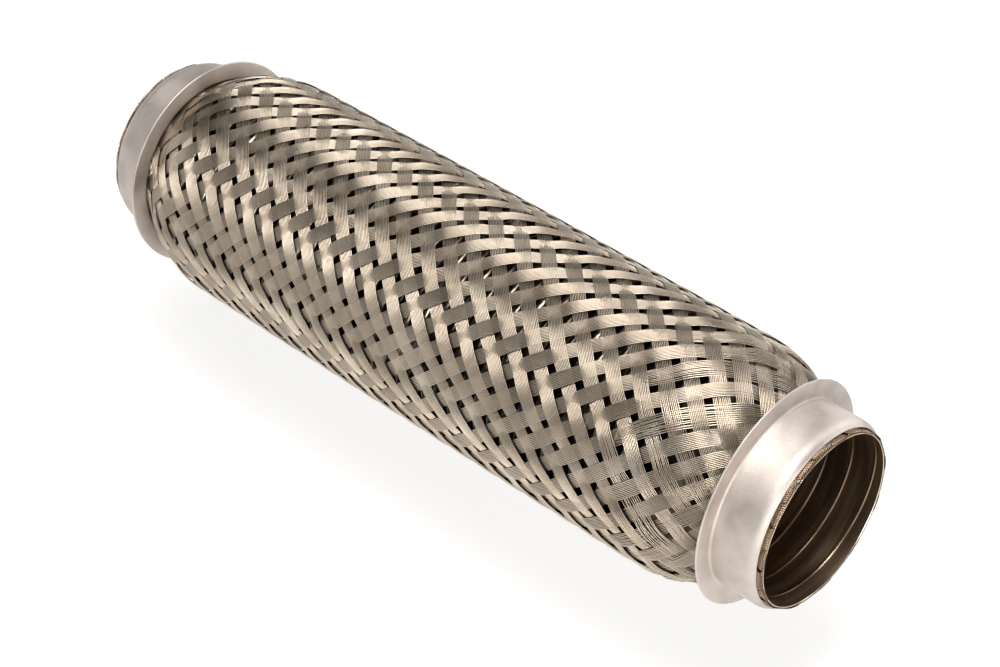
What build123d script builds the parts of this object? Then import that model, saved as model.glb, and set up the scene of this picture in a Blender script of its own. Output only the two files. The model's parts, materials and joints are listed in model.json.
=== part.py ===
from build123d import *
from math import atan, cos, sin
import os

# Braided flexible pipe: two pressed collars, a wire braid, a two-ply bellows and an interlocked
# liner. The axis of the pipe is X, the origin is its middle, and every piece is turned about X.
# Millimetres throughout. A profile is drawn in the XZ plane as (x, radius).

# Lengths along the pipe
overall_length = 305.0      # over the cuffs
cuff_reach = 2.2            # of the wires and cuffs past the edge of a sleeve
end_length = 53.5           # from a rim to the nearest flexing plane
flexing_planes = 12         # planes where the flexible pieces are divided
sleeve_length = 16.9        # from the edge of a sleeve to the outside of its flange
lip_length = 4.0            # rolled-in stretch of a sleeve at its edge
shoulder_gap = 1.3          # from the end of the braid's shoulder to the flange

# Radii, walls and clearances, from the bore outwards
bore_radius = 30.25
liner_wall = 0.25
liner_depth = 1.55          # whole radial depth of the interlocked strip
hook_overlap = 0.25         # radial overlap of two hooked edges
root_clearance = 0.4        # liner to bellows roots
ply_wall = 0.15
ply_gap = 0.05
convolution_height = 8.5    # inside of a root to outside of a crest
braid_clearance = 0.4       # bellows crests to braid
braid_wall = 1.8            # two woven layers of ribbons
seat_gap = 0.03             # between pieces pressed together at the rims
cuff_seat_gap = 0.24        # bellows cuff to braid along the sleeve
braid_end_wall = 0.85       # braid crushed at the rim
collar_sheet = 0.8
flange_width = 6.5          # from the outside of the sleeve to the edge of the flange
flange_edge_round = 0.3
bend_radius = 1.4           # middle of the sheet, between flange and sleeve

# Laps at a flexing plane, measured along the pipe from the plane
braid_lap = 3.0             # reach of a braid lip past the plane
braid_lip_root = 6.0        # where the braid has its full thickness again
braid_lip_gap = 0.5         # radial, between the two lips
liner_lap = 2.6
liner_web_place = 6.0
liner_groove = 1.2          # groove in the middle of a liner segment

convolution_spacing = 6.0   # wanted pitch, kept nearly the same whatever the length
end_convolutions = 2
cuff_taper_start = 6.0      # from the last crest to where the cuff starts to narrow
cuff_taper = 6.0

# Worked-out places
rim = overall_length / 2
sleeve_edge = rim - cuff_reach
first_plane = rim - end_length
link_length = 2 * first_plane / (flexing_planes - 1)
convolutions_per_link = round(link_length / convolution_spacing)
convolution_pitch = link_length / convolutions_per_link
bend = convolution_pitch / 4
ply_pack = 2 * ply_wall + ply_gap
liner_outside = bore_radius + liner_depth
root_radius = liner_outside + root_clearance + ply_pack / 2
crest_radius = liner_outside + root_clearance + convolution_height - ply_pack / 2
cuff_radius = bore_radius + liner_wall + seat_gap + ply_pack / 2
braid_inside = crest_radius + ply_pack / 2 + braid_clearance
braid_outside = braid_inside + braid_wall
inner_lip_radius = braid_inside + (braid_wall - braid_lip_gap) / 2
outer_lip_radius = inner_lip_radius + braid_lip_gap
seated_braid_inside = cuff_radius + ply_pack / 2 + cuff_seat_gap
seated_braid_outside = seated_braid_inside + braid_wall
rim_braid_inside = cuff_radius + ply_pack / 2 + seat_gap
rim_braid_outside = rim_braid_inside + braid_end_wall
sleeve_radius = seated_braid_outside + 0.05 + collar_sheet / 2
rim_sleeve_radius = rim_braid_outside + 0.1 + collar_sheet / 2
flange_radius = sleeve_radius + collar_sheet / 2 + flange_width
flange_place = sleeve_edge - sleeve_length - collar_sheet / 2

os.makedirs("parts", exist_ok=True)


def write_node(builder, name):
    builder.part.label = name
    export_step(builder.part, f"parts/{name}.step")


def plane_place(number):
    """Place of flexing plane 1 to 12, counted from the right end."""
    return first_plane - (number - 1) * link_length


def add_band(x_from, x_to, r_from, r_to):
    """Adds one rectangle of a profile, given by its limits along the pipe and its radii."""
    with Locations(((x_from + x_to) / 2, (r_from + r_to) / 2)):
        Rectangle(abs(x_to - x_from), abs(r_to - r_from))


# --- Collars ---------------------------------------------------------------------------------

def make_collar(side, name):
    lip_drop = sleeve_radius - rim_sleeve_radius
    lip_angle = 2 * atan(lip_drop / lip_length)
    lip_end = sleeve_edge - collar_sheet / 2 * sin(lip_angle)
    bend_end = flange_place + bend_radius
    with BuildPart() as collar:
        with BuildSketch(Plane.XZ):
            with BuildLine():
                edge = Line((side * flange_place, flange_radius),
                            (side * flange_place, sleeve_radius + bend_radius))
                turn = TangentArc(edge @ 1, (side * bend_end, sleeve_radius), tangent=edge % 1)
                sleeve = Line(turn @ 1, (side * (sleeve_edge - lip_length), sleeve_radius))
                TangentArc(sleeve @ 1, (side * lip_end, rim_sleeve_radius), tangent=sleeve % 1)
            trace(line_width=collar_sheet)
        revolve(axis=Axis.X)
        flange_edges = collar.edges().filter_by(GeomType.CIRCLE).group_by(SortBy.RADIUS)[-1]
        fillet(flange_edges, radius=flange_edge_round)
    write_node(collar, name)


# --- Braid -----------------------------------------------------------------------------------

def make_braid_end(side, lip_inside, lip_outside, name):
    """Shoulder and seated end of the braid, with one lip over or under the next segment."""
    lip_end = first_plane - braid_lap
    shoulder_start = first_plane + braid_lip_root
    shoulder_end = flange_place - collar_sheet / 2 - shoulder_gap
    seat_start = flange_place + bend_radius / 2
    mouth_radius = seated_braid_outside + 0.75
    fall = 2 * atan((braid_outside - mouth_radius) / (shoulder_end - shoulder_start))
    inner_end = (side * (shoulder_end - braid_wall * sin(fall)), mouth_radius - braid_wall * cos(fall))
    with BuildPart() as braid_end:
        with BuildSketch(Plane.XZ):
            with BuildLine():
                outer = TangentArc((side * shoulder_start, braid_outside), (side * shoulder_end, mouth_radius),
                                   tangent=(side, 0))
                outer_seat = Polyline(outer @ 1, (side * seat_start, seated_braid_outside),
                                      (side * (sleeve_edge - lip_length), seated_braid_outside),
                                      (side * sleeve_edge, rim_braid_outside),
                                      (side * rim, rim_braid_outside))
                inner = TangentArc((side * shoulder_start, braid_inside), inner_end, tangent=(side, 0))
                inner_seat = Polyline(inner @ 1, (side * seat_start, seated_braid_inside),
                                      (side * (sleeve_edge - lip_length), seated_braid_inside),
                                      (side * sleeve_edge, rim_braid_inside),
                                      (side * rim, rim_braid_inside))
                Line(outer_seat @ 1, inner_seat @ 1)
                Line(outer @ 0, inner @ 0)
            make_face()
            add_band(side * lip_end, side * shoulder_start, lip_inside, lip_outside)
        revolve(axis=Axis.X)
    write_node(braid_end, name)


def make_braid_band(right_plane, name):
    """One braid segment: an inner lip towards the right, an outer lip towards the left."""
    left_plane = right_plane - link_length
    with BuildPart() as band:
        with BuildSketch(Plane.XZ):
            add_band(left_plane + braid_lip_root, right_plane - braid_lip_root, braid_inside, braid_outside)
            add_band(right_plane - braid_lip_root, right_plane + braid_lap, braid_inside, inner_lip_radius)
            add_band(left_plane - braid_lap, left_plane + braid_lip_root, outer_lip_radius, braid_outside)
        revolve(axis=Axis.X)
    write_node(band, name)


# --- Bellows ---------------------------------------------------------------------------------

def add_convolutions(crests, side, offset):
    """Draws the middle line of a ply over the given crests, and returns its last edge.
    The offset is positive for the outer ply. Side is the direction in which the crests are met."""
    foot = root_radius + bend
    top = crest_radius - bend
    half_crest = side * (bend + offset)
    last = None
    for crest in crests:
        if last:
            root = (crest - side * convolution_pitch / 2, root_radius + offset)
            ThreePointArc(last @ 1, root, (crest - half_crest, foot))
        rise = Line((crest - half_crest, foot), (crest - half_crest, top))
        over = ThreePointArc(rise @ 1, (crest, crest_radius + offset), (crest + half_crest, top))
        last = Line(over @ 1, (crest + half_crest, foot))
    return last


def make_bellows_link(right_plane, offset, name):
    left_plane = right_plane - link_length
    crests = [left_plane + (number + 0.5) * convolution_pitch for number in range(convolutions_per_link)]
    with BuildPart() as ply:
        with BuildSketch(Plane.XZ):
            with BuildLine():
                add_convolutions(crests, 1, offset)
            trace(line_width=ply_wall)
        revolve(axis=Axis.X)
    write_node(ply, name)


def make_bellows_end(side, offset, name):
    """Last convolutions of a ply and its straight cuff, which runs through the sleeve to the rim."""
    crests = [side * (first_plane + (number + 0.5) * convolution_pitch) for number in range(end_convolutions)]
    taper_start = abs(crests[-1]) + cuff_taper_start
    fall = (root_radius - cuff_radius) / 2
    with BuildPart() as ply:
        with BuildSketch(Plane.XZ):
            with BuildLine():
                last = add_convolutions(crests, side, offset)
                foot_end = (last @ 1) + (side * (bend - offset), -(bend - offset))
                foot = TangentArc(last @ 1, foot_end, tangent=(0, -1))
                flat = Line(foot @ 1, (side * taper_start, root_radius + offset))
                first_half = TangentArc(flat @ 1, (side * (taper_start + cuff_taper / 2), root_radius + offset - fall),
                                        tangent=(side, 0))
                second_half = TangentArc(first_half @ 1, (side * (taper_start + cuff_taper), cuff_radius + offset),
                                         tangent=first_half % 1)
                Line(second_half @ 1, (side * rim, cuff_radius + offset))
            trace(line_width=ply_wall)
        revolve(axis=Axis.X)
    write_node(ply, name)


# --- Liner -----------------------------------------------------------------------------------

leg_gap = liner_depth - 2 * liner_wall
hook_height = (leg_gap + hook_overlap) / 2 + liner_wall


def add_inner_leg(x_web, x_hook):
    """Leg of the strip along the bore, with its hooked edge turned outwards."""
    add_band(x_web, x_hook, bore_radius, bore_radius + liner_wall)
    hook_side = -liner_wall if x_hook > x_web else liner_wall
    add_band(x_hook, x_hook + hook_side, bore_radius, bore_radius + hook_height)


def add_outer_leg(x_web, x_hook):
    """Leg of the strip along the outside, with its hooked edge turned inwards."""
    add_band(x_web, x_hook, liner_outside - liner_wall, liner_outside)
    hook_side = -liner_wall if x_hook > x_web else liner_wall
    add_band(x_hook, x_hook + hook_side, liner_outside - hook_height, liner_outside)


def make_liner_turns(right_plane, name):
    left_plane = right_plane - link_length
    right_web = right_plane - liner_web_place
    groove_end = right_web - liner_groove
    left_web = left_plane + liner_web_place
    with BuildPart() as turns:
        with BuildSketch(Plane.XZ):
            add_inner_leg(right_web, right_plane + liner_lap)
            add_band(right_web, right_web + liner_wall, bore_radius, liner_outside)
            add_band(groove_end - liner_wall, right_web + liner_wall, liner_outside - liner_wall, liner_outside)
            add_band(groove_end - liner_wall, groove_end, bore_radius, liner_outside)
            add_band(left_web, groove_end, bore_radius, bore_radius + liner_wall)
            add_band(left_web, left_web + liner_wall, bore_radius, liner_outside)
            add_outer_leg(left_web + liner_wall, left_plane - liner_lap)
        revolve(axis=Axis.X)
    write_node(turns, name)


def make_right_liner_end():
    web = first_plane + liner_web_place
    with BuildPart() as liner_end:
        with BuildSketch(Plane.XZ):
            add_band(web, rim, bore_radius, bore_radius + liner_wall)
            add_band(web, web + liner_wall, bore_radius, liner_outside)
            add_outer_leg(web + liner_wall, first_plane - liner_lap)
        revolve(axis=Axis.X)
    write_node(liner_end, "right_liner_end")


def make_left_liner_end():
    with BuildPart() as liner_end:
        with BuildSketch(Plane.XZ):
            add_inner_leg(-rim, -first_plane + liner_lap)
        revolve(axis=Axis.X)
    write_node(liner_end, "left_liner_end")


# --- Whole pipe ------------------------------------------------------------------------------

outer_ply = (ply_wall + ply_gap) / 2
inner_ply = -outer_ply

make_collar(1, "right_collar")
make_collar(-1, "left_collar")
make_braid_end(1, outer_lip_radius, braid_outside, "right_braid_end")
make_braid_end(-1, braid_inside, inner_lip_radius, "left_braid_end")
for side, end_name in ((1, "right"), (-1, "left")):
    make_bellows_end(side, outer_ply, f"{end_name}_bellows_outer_ply_end")
    make_bellows_end(side, inner_ply, f"{end_name}_bellows_inner_ply_end")
make_right_liner_end()
make_left_liner_end()

for number in range(1, flexing_planes):
    right_plane = plane_place(number)
    make_braid_band(right_plane, f"braid_band_{number:02d}")
    make_bellows_link(right_plane, outer_ply, f"bellows_outer_ply_{number:02d}")
    make_bellows_link(right_plane, inner_ply, f"bellows_inner_ply_{number:02d}")
    make_liner_turns(right_plane, f"liner_turns_{number:02d}")
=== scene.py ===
import json
import math
import bpy
import numpy as np
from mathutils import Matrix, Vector

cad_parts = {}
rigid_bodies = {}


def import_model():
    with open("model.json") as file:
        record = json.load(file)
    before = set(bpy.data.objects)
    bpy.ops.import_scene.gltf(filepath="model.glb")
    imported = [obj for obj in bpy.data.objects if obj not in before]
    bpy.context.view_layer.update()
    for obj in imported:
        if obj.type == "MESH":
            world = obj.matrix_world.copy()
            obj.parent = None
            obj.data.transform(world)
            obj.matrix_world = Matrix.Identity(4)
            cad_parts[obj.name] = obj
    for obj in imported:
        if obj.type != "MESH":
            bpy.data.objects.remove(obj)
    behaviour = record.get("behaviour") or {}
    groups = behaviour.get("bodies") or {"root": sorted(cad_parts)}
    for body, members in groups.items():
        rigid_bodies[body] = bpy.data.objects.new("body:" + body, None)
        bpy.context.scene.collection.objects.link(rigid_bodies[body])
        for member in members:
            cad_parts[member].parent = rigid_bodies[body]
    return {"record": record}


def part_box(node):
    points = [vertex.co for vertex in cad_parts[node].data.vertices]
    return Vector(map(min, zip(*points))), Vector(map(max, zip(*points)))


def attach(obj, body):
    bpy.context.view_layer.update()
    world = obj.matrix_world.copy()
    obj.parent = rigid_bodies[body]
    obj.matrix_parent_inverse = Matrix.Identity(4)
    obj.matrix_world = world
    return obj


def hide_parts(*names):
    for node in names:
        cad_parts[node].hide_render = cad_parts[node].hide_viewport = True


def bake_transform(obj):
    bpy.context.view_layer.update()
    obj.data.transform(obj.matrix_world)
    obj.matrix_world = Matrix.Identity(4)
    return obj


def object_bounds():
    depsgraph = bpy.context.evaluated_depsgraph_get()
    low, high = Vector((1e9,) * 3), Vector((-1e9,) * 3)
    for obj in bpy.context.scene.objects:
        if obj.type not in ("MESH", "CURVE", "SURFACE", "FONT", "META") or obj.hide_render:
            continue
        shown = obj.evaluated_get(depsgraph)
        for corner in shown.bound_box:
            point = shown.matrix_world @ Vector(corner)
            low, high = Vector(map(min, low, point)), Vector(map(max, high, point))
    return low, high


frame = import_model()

# Braided flexible pipe along X. Lengths are millimetres, and MM turns them into the frame's metres.
# The camera, the lights and the floor are given in metres.
MM = 0.001
cad_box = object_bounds()
rng = np.random.default_rng(7)

# --- Sizes read from the frame ----------------------------------------------------------------

joints = frame["record"]["behaviour"]["joints"]
chain = [joints[0]["parent"]] + [joint["child"] for joint in joints]
right_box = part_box("right_collar")
rim = cad_box[1].x / MM     # ends of the wires and cuffs
sleeve_edge = right_box[1].x / MM
flange_radius = right_box[1].z / MM
flange_face = right_box[0].x / MM
link_count = len(chain) - 2

# The flexing planes from right to left, and the ends of the zones that bend about them
bands = [f"braid_band_{n:02d}" for n in range(1, link_count + 1)]
bands = ["right_braid_end"] + bands + ["left_braid_end"]
planes = [(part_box(a)[0].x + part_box(b)[1].x) / 2 / MM for a, b in zip(bands, bands[1:])]
link_length = planes[0] - planes[1]
zone_ends = [planes[0] + link_length / 2] + [place - link_length / 2 for place in planes]
braid_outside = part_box("braid_band_01")[1].z / MM
crest_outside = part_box("bellows_outer_ply_01")[1].z / MM
liner_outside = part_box("liner_turns_01")[1].z / MM
bore_mount = next(m for m in frame["record"]["mounts"] if m["name"] == "right_bore")
bore_radius = bore_mount["dims"]["r_mm"]

# --- Braid sizes ------------------------------------------------------------------------------

CARRIERS = 24               # ribbons each way
WIRES = 10                  # wires in a ribbon
WIRE_RADIUS = 0.19
WIRE_PITCH = 0.52
WIRE_SIDES = 6
WIRE_SETBACK = 0.05         # cut ends of the wires behind the rim
ZONE_STEP = 1.3             # length of a wire's facets along the pipe
SHOULDER_STEP = 1.55        # and over the shoulders

WEAVE_HEIGHT = 0.42         # rise of a ribbon over its middle surface
WEAVE_SHARPNESS = 2.4       # how quickly a ribbon goes from over to under
RIBBON_CROWN = 0.16         # rise of a ribbon's middle wires over its edge wires

SHOULDER_START = 105.0
SHOULDER_END = 130.6
SHOULDER_FALL = 9.2         # drop of the braid over a shoulder
MIDDLE_SWELL = 0.3          # extra radius half-way along
SEAT_DEPTH = 0.9            # how far past the flange's face the braid reaches its seat
SEAT_RUN = 4.0              # stretch in which the ribbons settle into the collar
SEAT_WIDENING = 0.15        # how much wider a ribbon lies there, as a share
SEAT_CALM = 0.5             # share of its wander that it loses there
SEAT_RADIUS = 32.22         # middle of the braid inside the sleeve
EDGE_RADIUS = 31.55         # at the sleeve's edge
TIP_RADIUS = 31.3           # and at the cut ends
LIP = 4.0                   # rolled-in stretch of a sleeve at its edge
TABLE_PLACES = 6001
SMOOTHING_PLACES = 61       # places in the window that rounds the braid's corners

# Slope of the ribbons against the pipe's length, at places from the left rim to the right one
SLANT_PLACES = [-rim, -115, -85, -30, 20, 110, 132, rim]
SLANTS = [0.75, 1.0, 1.14, 1.1, 0.955, 0.955, 0.85, 0.7]

# Share of the weave height left at the collar: shoulder's end, flange's face, lip and sleeve's edge
FLATTENING_PLACES = [SHOULDER_END, flange_face, sleeve_edge - LIP, sleeve_edge]
FLATTENINGS = [1, 0.95, 0.9, 0.6]

# --- Braid looseness --------------------------------------------------------------------------

# Places where the wires start to come loose, are fully loose, start to close up, and are tight
LOOSE_STRETCHES = ((-133.5, -129.5, -124.0, -112.0), (88.0, 113.0, 125.0, 133.0))
LOOSE_FAN = 0.75            # extra width of the loosest ribbon, as a share
TIGHT_SPREAD = 0.012        # sideways stray of a wire in a tight ribbon
LOOSE_SPREAD = 0.5          # extra stray in the loosest ribbon
WIRE_LIFT = 0.005           # stray of a wire outwards
LOOSE_LIFT = 20.0           # times as much more where it is loose
RIBBON_DRIFT = 0.3          # sideways wander of a whole ribbon
RIBBON_WAVE = 70.0          # its wavelength
WIRE_WAVE = 33.0            # wavelength of a wire's stray
WAVE_FACTORS = (1.0, 1.9, 3.7)  # waves per wavelength that a wander is made of
WANDER_SUM = 1.6            # about what those waves add up to

# --- Small helpers ----------------------------------------------------------------------------


def colour(code):
    """Linear colour from an sRGB hex code."""
    values = [int(code[i:i + 2], 16) / 255 for i in (1, 3, 5)]
    linear = [v / 12.92 if v <= 0.04045 else ((v + 0.055) / 1.055) ** 2.4 for v in values]
    return (*linear, 1.0)


def add_node(owner, kind, inputs=None, stops=None, **settings):
    """Adds one node to a material or the world. An input is a value, or the socket that feeds it.

    Stops are a colour ramp's places and hex codes.
    """
    tree = owner.node_tree
    node = tree.nodes.new(kind)
    for name, value in settings.items():
        setattr(node, name, value)
    for name, value in (inputs or {}).items():
        if isinstance(value, bpy.types.NodeSocket):
            tree.links.new(value, node.inputs[name])
        else:
            node.inputs[name].default_value = value
    if stops:
        elements = node.color_ramp.elements
        while len(elements) < len(stops):
            elements.new(0.5)
        for element, (place, code) in zip(elements, stops):
            element.position = place
            element.color = colour(code)
    return node


def cells(size):
    """Noise scale whose patches are this many millimetres across."""
    return 1 / (size * MM)


def new_material(name):
    material = bpy.data.materials.new(name)
    material.use_nodes = True
    material.node_tree.nodes.clear()
    return material


def finish_material(material, shader):
    add_node(material, "ShaderNodeOutputMaterial", {"Surface": shader.outputs["BSDF"]})
    return material


def mesh_object(name, vertices, faces, material):
    """Object from vertices in millimetres."""
    mesh = bpy.data.meshes.new(name)
    mesh.from_pydata((vertices * MM).tolist(), [], faces)
    mesh.polygons.foreach_set("use_smooth", [True] * len(mesh.polygons))
    mesh.materials.append(material)
    obj = bpy.data.objects.new(name, mesh)
    bpy.context.collection.objects.link(obj)
    return obj


def turned_shell(name, profile, segments, material):
    """Turns a profile of (place along the axis, radius) points about X, ring by ring."""
    bpy.ops.object.select_all(action="DESELECT")
    place, radius = profile[0]
    bpy.ops.mesh.primitive_circle_add(
        vertices=segments, radius=radius * MM, location=(place * MM, 0, 0), rotation=(0, math.pi / 2, 0))
    shell = bpy.context.object
    bpy.ops.object.transform_apply(location=True, rotation=True, scale=True)
    bpy.ops.object.mode_set(mode="EDIT")
    bpy.ops.mesh.select_all(action="SELECT")
    for (x0, r0), (x1, r1) in zip(profile, profile[1:]):
        bpy.ops.mesh.extrude_region()
        bpy.ops.transform.translate(value=((x1 - x0) * MM, 0, 0))
        bpy.ops.transform.resize(value=(1, r1 / r0, r1 / r0), center_override=(x1 * MM, 0, 0))
    bpy.ops.mesh.select_all(action="SELECT")
    bpy.ops.mesh.normals_make_consistent(inside=False)
    bpy.ops.object.mode_set(mode="OBJECT")
    bpy.ops.object.shade_smooth()
    shell.name = name
    shell.data.name = name
    shell.data.materials.append(material)
    return shell


def apply_modifier(obj, kind, **settings):
    bpy.context.view_layer.objects.active = obj
    modifier = obj.modifiers.new(kind.title(), kind)
    for name, value in settings.items():
        setattr(modifier, name, value)
    bpy.ops.object.modifier_apply(modifier=modifier.name)


def arc(centre, radius, start, end, steps):
    """Points of an arc in the profile plane, angles in degrees from +X towards larger radius."""
    angles = np.radians(np.linspace(start, end, steps + 1))
    return [(centre[0] + radius * math.cos(a), centre[1] + radius * math.sin(a)) for a in angles]


def moved_copy(obj, name, distance):
    """Copy with its own mesh, moved along the pipe."""
    copy = obj.copy()
    copy.data = obj.data.copy()
    copy.name = copy.data.name = name
    bpy.context.collection.objects.link(copy)
    for vertex in copy.data.vertices:
        vertex.co.x += distance * MM
    return copy


# --- Materials --------------------------------------------------------------------------------

BURNT_START = sleeve_edge - 0.5     # the wires' cut ends darken from here
BURNT_FULL = sleeve_edge + 0.6      # to here
BARE_CUFF_START = rim - 8.0            # the bellows' painted shade gives way to the foil's own bright colour at the cuffs from here
BARE_CUFF_FULL = rim - 4.0             # to here


def braid_wire_material():
    """Bright-drawn stainless wire: satin crowns, painted shade on the flanks of each wire that face
    inwards, burnt cut ends.
    """
    material = new_material("stainless_braid_wire")
    place = add_node(material, "ShaderNodeTexCoord").outputs["Object"]
    patches = add_node(material, "ShaderNodeTexNoise", {
        "Vector": place, "Scale": cells(16.7), "Detail": 3.0})
    bright = add_node(material, "ShaderNodeValToRGB", {"Fac": patches.outputs["Fac"]}, stops=[
        (0.3, "#B6A694"), (0.55, "#CABBA8"), (0.75, "#E0D3C2")])
    along_pipe = add_node(material, "ShaderNodeSeparateXYZ", {"Vector": place}).outputs["X"]
    reach = add_node(material, "ShaderNodeMath", {0: along_pipe}, operation="ABSOLUTE")
    burnt = add_node(material, "ShaderNodeMapRange", {
        "Value": reach.outputs["Value"],
        "From Min": BURNT_START * MM, "From Max": BURNT_FULL * MM})
    tint = add_node(material, "ShaderNodeMix", {
        "Factor": burnt.outputs["Result"],
        "A": bright.outputs["Color"], "B": colour("#987F68")}, data_type="RGBA")
    # Painted shade: the sides of each wire that face inwards are coloured near black, in place of the shade
    # between the wires
    crown = add_node(material, "ShaderNodeAttribute", attribute_name="wire_crown").outputs["Fac"]
    lit = add_node(material, "ShaderNodeMapRange", {"Value": crown, "From Min": 0.05, "From Max": 0.75})
    painted_shade = add_node(material, "ShaderNodeMix", {
        "Factor": lit.outputs["Result"],
        "A": colour("#2A241F"), "B": tint.outputs["Result"]}, data_type="RGBA")
    rough = add_node(material, "ShaderNodeMapRange", {
        "Value": patches.outputs["Fac"], "To Min": 0.3, "To Max": 0.42})
    shader = add_node(material, "ShaderNodeBsdfPrincipled", {
        "Base Color": painted_shade.outputs["Result"], "Roughness": rough.outputs["Result"], "Metallic": 1.0})
    return finish_material(material, shader)


def collar_material():
    """Pressed and pickled stainless sheet: pale, matt and softly clouded, with a fine grain."""
    material = new_material("satin_stainless_sheet")
    place = add_node(material, "ShaderNodeTexCoord").outputs["Object"]
    clouds = add_node(material, "ShaderNodeTexNoise", {
        "Vector": place, "Scale": cells(14.0), "Detail": 6.0})
    tint = add_node(material, "ShaderNodeValToRGB", {"Fac": clouds.outputs["Fac"]}, stops=[
        (0.32, "#B2A8A1"), (0.5, "#C7BDB5"), (0.7, "#D3C9C2")])
    rough = add_node(material, "ShaderNodeMapRange", {
        "Value": clouds.outputs["Fac"], "To Min": 0.48, "To Max": 0.66})
    grain = add_node(material, "ShaderNodeTexNoise", {"Vector": place, "Scale": cells(0.67), "Detail": 3.0})
    bump = add_node(material, "ShaderNodeBump", {
        "Height": grain.outputs["Fac"], "Strength": 0.3, "Distance": 0.2 * MM})
    shader = add_node(material, "ShaderNodeBsdfPrincipled", {
        "Base Color": tint.outputs["Color"], "Roughness": rough.outputs["Result"], "Metallic": 0.86,
        "Normal": bump.outputs["Normal"]})
    return finish_material(material, shader)


def bellows_material():
    """Formed stainless foil: painted shade with a few painted glints over most of it, where it shows
    through the braid, and the foil's own bright colour at the cuffs.
    """
    material = new_material("rolled_stainless_foil")
    place = add_node(material, "ShaderNodeTexCoord").outputs["Object"]
    clouds = add_node(material, "ShaderNodeTexNoise", {
        "Vector": place, "Scale": cells(12.5), "Detail": 3.0})
    # Painted shade and glints: mostly near black, with a few bright patches, for the dark holes in the
    # braid and the glints in them
    painted_shade_and_glints = add_node(material, "ShaderNodeValToRGB", {"Fac": clouds.outputs["Fac"]}, stops=[
        (0.42, "#2F2A25"), (0.56, "#7A7064"), (0.64, "#C9BEAE")])
    along_pipe = add_node(material, "ShaderNodeSeparateXYZ", {"Vector": place}).outputs["X"]
    reach = add_node(material, "ShaderNodeMath", {0: along_pipe}, operation="ABSOLUTE")
    # The painted shade fades out towards the rims, where the cuffs keep the foil's own colour
    bare_cuff = add_node(material, "ShaderNodeMapRange", {
        "Value": reach.outputs["Value"],
        "From Min": BARE_CUFF_START * MM, "From Max": BARE_CUFF_FULL * MM})
    tint = add_node(material, "ShaderNodeMix", {
        "Factor": bare_cuff.outputs["Result"],
        "A": painted_shade_and_glints.outputs["Color"], "B": colour("#E0CDB8")}, data_type="RGBA")
    shader = add_node(material, "ShaderNodeBsdfPrincipled", {
        "Base Color": tint.outputs["Result"], "Roughness": 0.3, "Metallic": 1.0})
    return finish_material(material, shader)


def liner_material():
    """Cold-rolled strip stainless with a straw heat tint: rolling streaks run round the bore."""
    material = new_material("heat_tinted_liner_strip")
    place = add_node(material, "ShaderNodeTexCoord").outputs["Object"]
    stretch = add_node(material, "ShaderNodeMapping", {
        "Vector": place, "Scale": (cells(2.5), cells(40.0), cells(40.0))})
    streaks = add_node(material, "ShaderNodeTexNoise", {
        "Vector": stretch.outputs["Vector"], "Scale": 1.0, "Detail": 3.0})
    tint = add_node(material, "ShaderNodeValToRGB", {"Fac": streaks.outputs["Fac"]}, stops=[
        (0.3, "#8A7460"), (0.7, "#BCA58C")])
    rough = add_node(material, "ShaderNodeMapRange", {
        "Value": streaks.outputs["Fac"], "To Min": 0.25, "To Max": 0.42})
    shader = add_node(material, "ShaderNodeBsdfPrincipled", {
        "Base Color": tint.outputs["Color"], "Roughness": rough.outputs["Result"], "Metallic": 1.0})
    return finish_material(material, shader)


# --- Braid ------------------------------------------------------------------------------------


def braid_surface():
    """Tables along X: place, middle radius, weave height, slope of the ribbons, twist and path length."""
    x = np.linspace(-rim, rim, TABLE_PLACES)
    reach = np.abs(x)
    middle = braid_outside - WEAVE_HEIGHT - WIRE_RADIUS
    run = SHOULDER_END - SHOULDER_START
    curve = (run ** 2 + SHOULDER_FALL ** 2) / (2 * SHOULDER_FALL)
    fall = curve - np.sqrt(curve ** 2 - np.clip(reach - SHOULDER_START, 0, run) ** 2)
    swell = MIDDLE_SWELL * np.clip(1 - (reach / SHOULDER_START) ** 2, 0, 1)
    collar = np.interp(reach, [SHOULDER_END, flange_face + SEAT_DEPTH], [0, 1])
    seated = np.interp(
        reach, [sleeve_edge - LIP, sleeve_edge, rim], [SEAT_RADIUS, EDGE_RADIUS, TIP_RADIUS])
    radius = (middle + swell - fall) * (1 - collar) + seated * collar
    window = np.hanning(SMOOTHING_PLACES)
    padded = np.pad(radius, SMOOTHING_PLACES // 2, mode="edge")
    radius = np.convolve(padded, window / window.sum(), mode="valid")
    flattening = np.interp(reach, FLATTENING_PLACES, FLATTENINGS)
    slant = np.interp(x, SLANT_PLACES, SLANTS)
    path = np.hypot(np.gradient(x), np.gradient(radius))
    twist = np.cumsum(slant / radius * path)
    twist -= np.interp(0, x, twist)
    return x, radius, WEAVE_HEIGHT * flattening, slant, twist, np.cumsum(path)


TABLE_X, TABLE_R, TABLE_H, TABLE_SLANT, TABLE_TWIST, TABLE_PATH = braid_surface()


def along(values, x):
    """One of the tables, read at the places x."""
    return np.interp(x, TABLE_X, values)


def wander(x, count, size, wave):
    """Smooth random offsets along x, one row for each of count ribbons or wires."""
    total = np.zeros((count, len(x)))
    for factor in WAVE_FACTORS:
        phase = wander_phases[factor, count][:, None]
        total += np.sin(x[None, :] * 2 * math.pi * factor / wave + phase) / factor
    return size * total / WANDER_SUM


RIBBONS = 2 * CARRIERS
wander_phases = {(factor, count): rng.uniform(0, 2 * math.pi, count)
                 for count in (RIBBONS, RIBBONS * WIRES) for factor in WAVE_FACTORS}
looseness = rng.uniform(0, 1, RIBBONS) ** 2     # squared, so only a few ribbons are very loose


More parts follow.
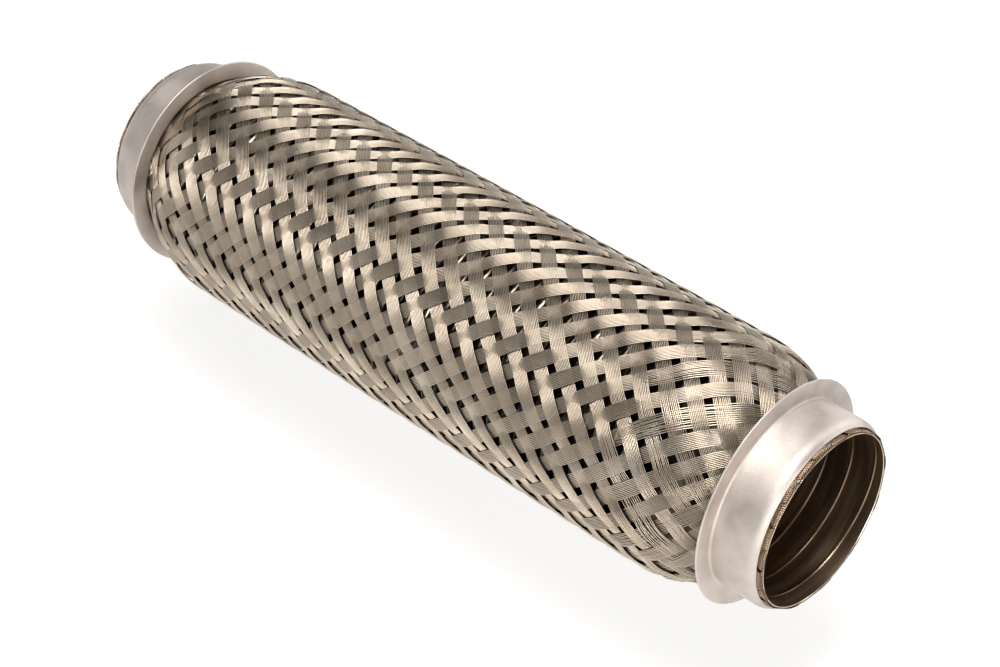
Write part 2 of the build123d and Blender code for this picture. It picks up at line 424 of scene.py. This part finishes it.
def wire_paths(x):
    """Angle and radius of every wire at the places x, as arrays of ribbons by wires by places."""
    way = np.repeat([1.0, -1.0], CARRIERS)[:, None, None]
    number = np.tile(np.arange(CARRIERS), 2)[:, None, None]
    radius, slant, twist = along(TABLE_R, x), along(TABLE_SLANT, x), along(TABLE_TWIST, x)
    lateral = (np.arange(WIRES) - (WIRES - 1) / 2) * WIRE_PITCH
    drift = wander(x, RIBBONS, RIBBON_DRIFT, RIBBON_WAVE)[:, None, :]
    stray = wander(x, RIBBONS * WIRES, 1.0, WIRE_WAVE).reshape(RIBBONS, WIRES, -1)
    loose = sum(np.interp(x, stretch, [0, 1, 1, 0]) for stretch in LOOSE_STRETCHES)
    loose_ribbon = loose[None, None, :] * looseness[:, None, None]
    seat = np.clip((np.abs(x) - SHOULDER_END) / SEAT_RUN, 0, 1)

    # Place of each wire across its ribbon, then round the pipe
    across = lateral[None, :, None] * (1 + SEAT_WIDENING * seat + LOOSE_FAN * loose_ribbon)
    across = across + drift * (1 - SEAT_CALM * seat)
    across = across + (TIGHT_SPREAD + LOOSE_SPREAD * loose_ribbon) * stray
    turn = across * np.hypot(1, slant) / radius
    angle = way * twist + 2 * math.pi * number / CARRIERS + turn

    # The state is a whole number at the middle of each ribbon of the other way: over two, under two
    other = (angle * way + twist) * CARRIERS / (2 * math.pi)
    state = way * number + other
    wave = np.tanh(WEAVE_SHARPNESS * np.cos(math.pi / 2 * (state - 0.5))) / math.tanh(WEAVE_SHARPNESS)
    crown = RIBBON_CROWN * (1 - (2 * lateral / (lateral[-1] - lateral[0])) ** 2)[None, :, None]
    lift = WIRE_LIFT * stray * (1 + LOOSE_LIFT * loose)
    rise = along(TABLE_H, x) * way * wave + crown * (1 - seat) + lift
    return angle, radius + rise


def points_at(angle, radius, x):
    """Points in millimetres from their angle about X, their radius and their place along X."""
    place = np.broadcast_to(x, angle.shape)
    return np.stack([place, radius * np.cos(angle), radius * np.sin(angle)], axis=-1)


def braid_piece(name, x_from, x_to, step_length, material, capped=0):
    """All wires between two places. Capped is +1 or -1 where the right or left end is a rim."""
    paths = along(TABLE_PATH, np.array([x_from, x_to]))
    count = max(2, round(abs(paths[1] - paths[0]) / step_length))
    x = np.interp(np.linspace(paths[0], paths[1], count + 1), TABLE_PATH, TABLE_X)
    angle, radius = wire_paths(x)
    centre = points_at(angle, radius, x)

    # Directions along, across and out of each wire
    nudge = 0.05
    before, after = wire_paths(x - nudge), wire_paths(x + nudge)
    forward = points_at(*after, x + nudge) - points_at(*before, x - nudge)
    forward /= np.linalg.norm(forward, axis=-1, keepdims=True)
    outward = np.stack([np.zeros_like(angle), np.cos(angle), np.sin(angle)], axis=-1)
    side = np.cross(forward, outward)
    side /= np.linalg.norm(side, axis=-1, keepdims=True)
    outward = np.cross(side, forward)

    # A tube of flat sides round each path
    turns = 2 * math.pi * np.arange(WIRE_SIDES) / WIRE_SIDES
    ring = outward[..., None, :] * np.cos(turns)[:, None] + side[..., None, :] * np.sin(turns)[:, None]
    vertices = (centre[..., None, :] + WIRE_RADIUS * ring).reshape(-1, 3)
    wires, places = RIBBONS * WIRES, len(x)
    index = np.arange(wires * places * WIRE_SIDES).reshape(wires, places, WIRE_SIDES)
    following = np.roll(index, -1, axis=2)
    faces = np.stack([index[:, :-1], following[:, :-1], following[:, 1:], index[:, 1:]], axis=-1)
    faces = faces.reshape(-1, 4).tolist()
    if capped:
        faces += index[:, -1 if capped > 0 else 0].tolist()
    piece = mesh_object(name, vertices, faces, material)
    add_strip_map(piece, wires, places)

    # The material reads how far outwards each side of a wire faces, and paints shade on the sides that face
    # inwards
    crown = piece.data.attributes.new("wire_crown", "FLOAT", "POINT")
    crown.data.foreach_set("value", np.tile(np.cos(turns), wires * places).astype(np.float32))
    return piece


def add_strip_map(piece, wires, places):
    """Lays every wire out as one straight strip of the unit square."""
    layer = piece.data.uv_layers.new(name="OFBake")
    loops = len(piece.data.loops)
    vertex = np.zeros(loops, dtype=np.int32)
    piece.data.loops.foreach_get("vertex_index", vertex)
    wire = vertex // (places * WIRE_SIDES)
    place = vertex // WIRE_SIDES % places
    side = vertex % WIRE_SIDES
    columns, end_margin, side_margin = 8, 0.02, 0.1
    rows = math.ceil(wires / columns)
    u = (wire % columns + end_margin + (1 - 2 * end_margin) * place / (places - 1)) / columns
    v = (wire // columns + side_margin + (1 - 2 * side_margin) * side / WIRE_SIDES) / rows
    layer.data.foreach_set("uv", np.stack([u, v], axis=-1).astype(np.float32).ravel())


def make_braid(material):
    """One piece to each flexing plane, and one over each shoulder."""
    make_end_braid("right", 1, chain[0], material)
    make_end_braid("left", -1, chain[-1], material)
    for number in range(len(planes)):
        name = f"braid_zone_{number + 1:02d}"
        piece = braid_piece(name, zone_ends[number + 1], zone_ends[number], ZONE_STEP, material)
        bend_at(piece)
        if number < link_count:
            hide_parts(f"braid_band_{number + 1:02d}")


def make_end_braid(side_name, side, body, material):
    """Braid over one shoulder, into the collar and out to the cut ends."""
    start, end = sorted((side * zone_ends[0], side * (rim - WIRE_SETBACK)))
    piece = braid_piece(f"{side_name}_braid_shoulder", start, end, SHOULDER_STEP, material, side)
    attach(piece, body)
    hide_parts(f"{side_name}_braid_end")


def bend_at(piece):
    """Bakes the piece's placing into its mesh; the piece runs from the middle of one link to the middle of
    the next and is attached to no body.
    """
    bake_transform(piece)


# --- Bellows ----------------------------------------------------------------------------------

CONVOLUTIONS = 3            # in a link
FOIL = 0.35                 # both plies
ROOT_GAP = 0.6              # between the liner and the roots
END_CREST_DROP = 0.5        # last convolution under its neighbours
BELLOWS_SEGMENTS = 96
CUFF_SEGMENTS = 160
CUFF_RADIUS = 30.7          # middle of the foil
CUFF_START = 2.0            # from the last root to where the cuff starts to widen
CUFF_WIDENED = 6.0          # and to where it is straight
CUFF_FLARE = ((2.5, 0.0), (1.2, 0.02), (0.5, 0.1), (0.15, 0.25))    # distance from the rim, widening


def convolution_profile(start, count, root, crest):
    """Middle line of convolutions that starts and ends at a root."""
    pitch = link_length / CONVOLUTIONS
    bend = pitch / 4
    points = []
    for number in range(count):
        x = start + number * pitch
        points += arc((x, root + bend), bend, -90, 0, 4)
        points += arc((x + 2 * bend, crest - bend), bend, 180, 0, 8)
        points += arc((x + 4 * bend, root + bend), bend, 180, 270, 4)[:-1]
    points.append((start + count * pitch, root))
    return points


def make_bellows(material):
    """Single sheet between the cuffs, where only its outside shows; the cuffs have their real thickness."""
    root, crest = liner_outside + ROOT_GAP, crest_outside - FOIL / 2
    profile = convolution_profile(zone_ends[1], CONVOLUTIONS, root, crest)
    model = turned_shell("bellows_zone_01", profile, BELLOWS_SEGMENTS, material)
    pieces = [model]
    for number in range(1, len(planes)):
        pieces.append(moved_copy(model, f"bellows_zone_{number + 1:02d}", -number * link_length))
    for number, piece in enumerate(pieces):
        bend_at(piece)
        if number < link_count:
            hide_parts(f"bellows_outer_ply_{number + 1:02d}",
                        f"bellows_inner_ply_{number + 1:02d}")
    pitch = link_length / CONVOLUTIONS
    profile = convolution_profile(zone_ends[0], 1, root, crest - END_CREST_DROP)[:-5]
    last = zone_ends[0] + pitch
    profile += [(last + CUFF_START, root), (last + CUFF_WIDENED, CUFF_RADIUS)]
    profile += [(rim - back, CUFF_RADIUS + widening) for back, widening in CUFF_FLARE]
    for side_name, side, body in (("right", 1, chain[0]), ("left", -1, chain[-1])):
        outline = [(side * x, radius) for x, radius in profile]
        piece = turned_shell(f"{side_name}_bellows_cuff", outline, CUFF_SEGMENTS, material)
        apply_modifier(piece, "SOLIDIFY", thickness=FOIL * MM, offset=0)
        apply_modifier(piece, "BEVEL", width=0.1 * MM, segments=2, limit_method="ANGLE", angle_limit=1.0)
        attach(piece, body)
        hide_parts(f"{side_name}_bellows_outer_ply_end", f"{side_name}_bellows_inner_ply_end")


# --- Liner ------------------------------------------------------------------------------------

SEAM_PITCH = 9.0
SEAM_PLACE = 5.0            # place of the seam within a turn
SEAM_WIDTH = 0.3
SEAM_RISE = 0.2             # how far the seam stands into the bore
TURN_DISH = 0.05            # hollow across each turn of the strip
DENT_DEPTH = 0.03           # slight unevenness of the strip
LINER_SEGMENTS = 144
LINER_STEP = 0.2
LINER_SETBACK = 0.2         # end of the liner behind the rim


def liner_radius(x, angle):
    """Bore radius with the seam wound round it: the rolled edge of one turn over the next."""
    phase = np.mod(x / SEAM_PITCH - angle / (2 * math.pi), 1) * SEAM_PITCH - SEAM_PLACE
    edge = np.exp(-(phase / SEAM_WIDTH) ** 2)
    dish = TURN_DISH * np.cos(2 * math.pi * phase / SEAM_PITCH)
    dents = DENT_DEPTH * np.sin(x * 0.61 + 3 * angle) * np.sin(5 * angle - x * 0.23)
    return bore_radius + SEAM_RISE * (1 - edge) + dish + dents


def liner_piece(name, x_from, x_to, material):
    """Inside wall of the liner between two places, the only side of it that shows."""
    count = max(2, round((x_to - x_from) / LINER_STEP))
    x = np.linspace(x_from, x_to, count + 1)
    angle = np.linspace(0, 2 * math.pi, LINER_SEGMENTS, endpoint=False)
    place, turn = np.meshgrid(x, angle, indexing="ij")
    radius = liner_radius(place, turn)
    inner = np.stack([place, radius * np.cos(turn), radius * np.sin(turn)], axis=-1).reshape(-1, 3)
    index = np.arange(len(inner)).reshape(count + 1, LINER_SEGMENTS)
    following = np.roll(index, -1, axis=1)
    faces = np.stack([index[:-1], index[1:], following[1:], following[:-1]], axis=-1)
    faces = faces.reshape(-1, 4).tolist()
    return mesh_object(name, inner, faces, material)


def make_liner(material):
    for number in range(len(planes)):
        name = f"liner_zone_{number + 1:02d}"
        piece = liner_piece(name, zone_ends[number + 1], zone_ends[number], material)
        bend_at(piece)
        if number < link_count:
            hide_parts(f"liner_turns_{number + 1:02d}")
    for side_name, side, body in (("right", 1, chain[0]), ("left", -1, chain[-1])):
        start, end = sorted((side * zone_ends[0], side * (rim - LINER_SETBACK)))
        piece = liner_piece(f"{side_name}_liner_cuff", start, end, material)
        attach(piece, body)
        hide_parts(f"{side_name}_liner_end")


# --- Collars ----------------------------------------------------------------------------------

SHEET = 0.8
SLEEVE_RADIUS = 33.37       # middle of the sheet
BEND = 1.4                  # between the flange and the sleeve, to the middle of the sheet
SLEEVE_START = 4.0          # from the flange's middle to the first ring of the sleeve
LIP_LEAD = 2.0              # from the last ring of the straight sleeve to its lip
FLANGE_TIP = 2.5            # from the flange's outside to the ring that keeps its face flat
EDGE_INSIDE = 31.95
EDGE_SHEET = 0.45           # sheet drawn thin where it is rolled over the wires
LIP_SHARPNESS = 2.6         # how late the lip turns in
COLLAR_SEGMENTS = 192


def collar_outline():
    """Closed outline of the sheet: outside from the flange to the rim, then back along the inside."""
    half = SHEET / 2
    outer, inner = SLEEVE_RADIUS + half, SLEEVE_RADIUS - half
    flange_x = flange_face + half
    corner = (flange_x + BEND, SLEEVE_RADIUS + BEND)
    sleeve_from, sleeve_to = flange_x + SLEEVE_START, sleeve_edge - LIP - LIP_LEAD
    tip = arc((flange_x, flange_radius - half), half, 180, 0, 8)
    tip.append((flange_x + half, flange_radius - FLANGE_TIP))
    outside = arc(corner, BEND - half, 180, 270, 8) + [(sleeve_from, outer), (sleeve_to, outer)]
    outside += lip_curve(outer, EDGE_INSIDE + EDGE_SHEET)
    rounded = arc((sleeve_edge, EDGE_INSIDE + EDGE_SHEET / 2), EDGE_SHEET / 2, 60, -60, 4)
    inside = lip_curve(inner, EDGE_INSIDE)[::-1] + [(sleeve_to, inner), (sleeve_from, inner)]
    inside += arc(corner, BEND + half, 270, 180, 8)
    return tip + outside + rounded + inside


def lip_curve(start_radius, end_radius):
    """Sleeve rolling in towards the rim, faster and faster."""
    drop = end_radius - start_radius
    return [(sleeve_edge - LIP + share * LIP, start_radius + drop * share ** LIP_SHARPNESS)
            for share in np.linspace(0, 1, 9)]


def make_collars(material):
    for side_name, side, body in (("right", 1, chain[0]), ("left", -1, chain[-1])):
        outline = [(side * x, r) for x, r in collar_outline()]
        name = f"{side_name}_end_collar"
        collar = turned_shell(name, outline + outline[:1], COLLAR_SEGMENTS, material)
        weld_seam(collar)
        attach(collar, body)
        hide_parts(f"{side_name}_collar")


def weld_seam(shell):
    """Joins the last ring of a closed outline to its first."""
    bpy.context.view_layer.objects.active = shell
    bpy.ops.object.mode_set(mode="EDIT")
    bpy.ops.mesh.select_all(action="SELECT")
    bpy.ops.mesh.remove_doubles(threshold=0.001 * MM)
    bpy.ops.mesh.normals_make_consistent(inside=False)
    bpy.ops.object.mode_set(mode="OBJECT")


# --- Studio -----------------------------------------------------------------------------------

CAMERA_AZIMUTH = 43.01      # degrees
CAMERA_ELEVATION = 39.24
CAMERA_DISTANCE = 0.8608
CAMERA_RIGHT = 0.009475     # how far the camera stands to the right of the pipe's middle
CAMERA_DOWN = 0.006837      # and how far below it, as the camera sees it
CAMERA_LENS = 89.5
SENSOR_WIDTH = 36.0
FLOOR_CLEARANCE = 36.0      # millimetres under the pipe
FLOOR_SIZE = 8.0
HORIZON_START = 0.3         # the floor turns to full white from here
HORIZON_END = 0.9           # to here
NEAR_WHITE = 0.8            # its glow under the pipe, which leaves room for a shadow


def make_camera():
    azimuth, elevation = math.radians(CAMERA_AZIMUTH), math.radians(CAMERA_ELEVATION)
    level = math.cos(elevation)
    back = Vector((math.sin(azimuth) * level, -math.cos(azimuth) * level, math.sin(elevation)))
    data = bpy.data.cameras.new("camera")
    data.lens = CAMERA_LENS
    data.sensor_width = SENSOR_WIDTH
    data.clip_start = 0.01
    camera = bpy.data.objects.new("camera", data)
    camera.rotation_mode = "QUATERNION"
    camera.rotation_quaternion = (-back).to_track_quat("-Z", "Y")
    right = camera.rotation_quaternion @ Vector((1, 0, 0))
    up = camera.rotation_quaternion @ Vector((0, 1, 0))
    camera.location = back * CAMERA_DISTANCE + right * CAMERA_RIGHT - up * CAMERA_DOWN
    bpy.context.collection.objects.link(camera)
    bpy.context.scene.camera = camera


def add_light(name, place, size, power):
    """White softbox that faces the pipe."""
    data = bpy.data.lights.new(name, "AREA")
    data.shape = "RECTANGLE"
    data.size, data.size_y = size
    data.energy = power
    light = bpy.data.objects.new(name, data)
    light.location = place
    light.rotation_mode = "QUATERNION"
    light.rotation_quaternion = (-Vector(place)).to_track_quat("-Z", "Y")
    bpy.context.collection.objects.link(light)


def make_world():
    """Room that is white up to just over the horizon, dark above that and grey overhead."""
    world = bpy.data.worlds.new("studio")
    bpy.context.scene.world = world
    world.use_nodes = True
    world.node_tree.nodes.clear()
    place = add_node(world, "ShaderNodeTexCoord").outputs["Generated"]
    height = add_node(world, "ShaderNodeSeparateXYZ", {"Vector": place}).outputs["Z"]
    room = add_node(world, "ShaderNodeValToRGB", {"Fac": height}, stops=[
        (0.0, "#FFFFFF"), (0.14, "#FFFFFF"), (0.25, "#211F1D"), (0.7, "#211F1D"), (1.0, "#8A8682")])
    back = add_node(world, "ShaderNodeBackground", {"Color": room.outputs["Color"], "Strength": 1.0})
    add_node(world, "ShaderNodeOutputWorld", {"Surface": back.outputs["Background"]})


def make_floor():
    """White floor, to the camera and in reflections, that still takes a faint shadow.

    The pipe is held by its right sleeve, so the floor lies low enough for its deepest bend.
    """
    bpy.ops.object.select_all(action="DESELECT")
    height = -(braid_outside + FLOOR_CLEARANCE) * MM
    bpy.ops.mesh.primitive_plane_add(size=FLOOR_SIZE, location=(0, 0, height))
    floor = bpy.context.object
    floor.name = "floor"
    material = new_material("studio_floor")
    rays = add_node(material, "ShaderNodeLightPath")
    pale = add_node(material, "ShaderNodeBsdfDiffuse", {"Color": colour("#E4E1DC")})
    faint = add_node(material, "ShaderNodeBsdfDiffuse", {"Color": colour("#8C8A87")})
    place = add_node(material, "ShaderNodeTexCoord").outputs["Object"]
    away = add_node(material, "ShaderNodeVectorMath", {0: place}, operation="LENGTH")
    level = add_node(material, "ShaderNodeMapRange", {
        "Value": away.outputs["Value"], "From Min": HORIZON_START, "From Max": HORIZON_END,
        "To Min": NEAR_WHITE, "To Max": 1.0})
    white = add_node(material, "ShaderNodeEmission", {
        "Color": colour("#FFFFFF"), "Strength": level.outputs["Result"]})
    backdrop = add_node(material, "ShaderNodeAddShader", {
        0: white.outputs["Emission"], 1: faint.outputs["BSDF"]})
    direct = add_node(material, "ShaderNodeMath", {
        0: rays.outputs["Is Camera Ray"], 1: rays.outputs["Is Glossy Ray"]}, operation="MAXIMUM")
    seen = add_node(material, "ShaderNodeMath", {
        0: direct.outputs["Value"], 1: rays.outputs["Is Transmission Ray"]}, operation="MAXIMUM")
    mix = add_node(material, "ShaderNodeMixShader", {
        0: seen.outputs["Value"], 1: pale.outputs["BSDF"], 2: backdrop.outputs["Shader"]})
    add_node(material, "ShaderNodeOutputMaterial", {"Surface": mix.outputs["Shader"]})
    floor.data.materials.append(material)


def make_studio():
    make_camera()
    make_world()
    make_floor()
    add_light("key_softbox", place=(0.1, -0.15, 0.95), size=(0.6, 0.45), power=12.0)
    add_light("fill_softbox", place=(0.85, -0.7, 0.3), size=(0.5, 0.5), power=7.0)
    add_light("rim_softbox", place=(0.2, 0.9, 0.5), size=(0.8, 0.3), power=4.0)
    bpy.context.scene.view_settings.view_transform = "Standard"


make_braid(braid_wire_material())
make_bellows(bellows_material())
make_liner(liner_material())
make_collars(collar_material())
make_studio()
